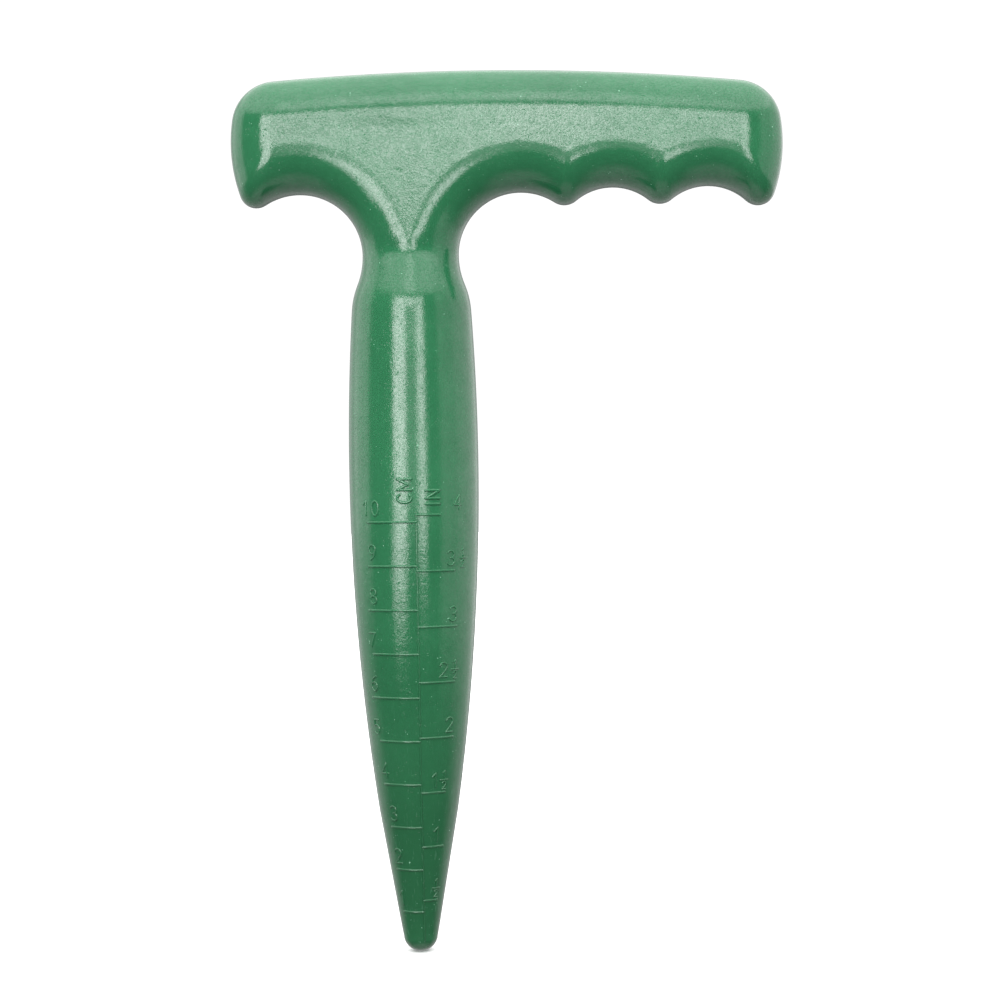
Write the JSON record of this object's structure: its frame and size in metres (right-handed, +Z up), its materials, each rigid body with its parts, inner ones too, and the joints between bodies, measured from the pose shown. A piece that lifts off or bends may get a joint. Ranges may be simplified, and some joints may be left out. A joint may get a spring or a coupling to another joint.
{
  "type": "bulb planter",
  "caption": "T-handled garden dibber: hollow tapered spike in two welded half shells, finger grooves under the long arm, raised centimetre and inch depth scale.",
  "frame": {"origin": "point of the spike, which is also the zero of the depth scale", "axes": "+Z up the spike towards the handle, +X along the long finger arm, -Y out of the face that carries the depth scale; Y = 0 is the parting plane of the two shells"},
  "size_m": [0.1285, 0.0303, 0.2047],
  "materials": {
    "green_plastic": "semi-gloss moulded, fine grain",
    "weld_plastic": "melted seam of the same plastic"
  },
  "bodies": {
    "root": {"front_shell": "green_plastic", "rear_shell": "green_plastic", "weld_bead": "weld_plastic"}
  },
  "joints": []
}
